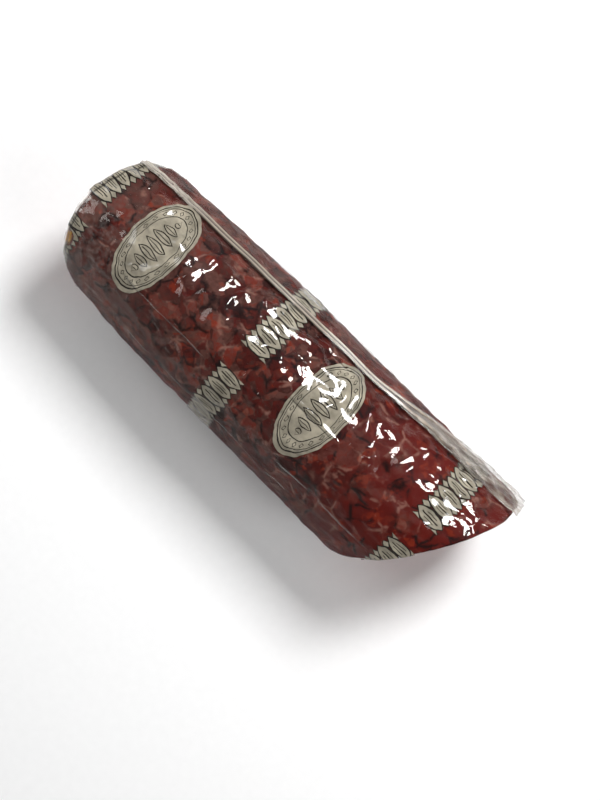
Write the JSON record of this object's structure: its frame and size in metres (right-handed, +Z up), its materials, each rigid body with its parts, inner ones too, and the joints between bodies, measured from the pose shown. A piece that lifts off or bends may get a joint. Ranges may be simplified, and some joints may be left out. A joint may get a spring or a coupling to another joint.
{
  "type": "cured sausage",
  "caption": "Cut portion of dry cured sausage in a clear printed casing with a lengthwise seam; one end cut on a long slant, lying on its flattened underside.",
  "frame": {"origin": "middle of the footprint's box, on the surface that the sausage lies on", "axes": "+X along the sausage towards the long slanted cut, +Y towards the side that the slanted cut leaves longer, +Z up"},
  "size_m": [0.162, 0.0549, 0.0535],
  "materials": {
    "cured_meat": null,
    "clear_film": "clear glossy wrinkled film with pale grey-beige print",
    "seam_film": "doubled, sealed edge of the same film, pale and cloudy"
  },
  "bodies": {
    "root": {"sausage_meat": "cured_meat", "casing_film": "clear_film", "seam_strip": "seam_film"}
  },
  "joints": []
}
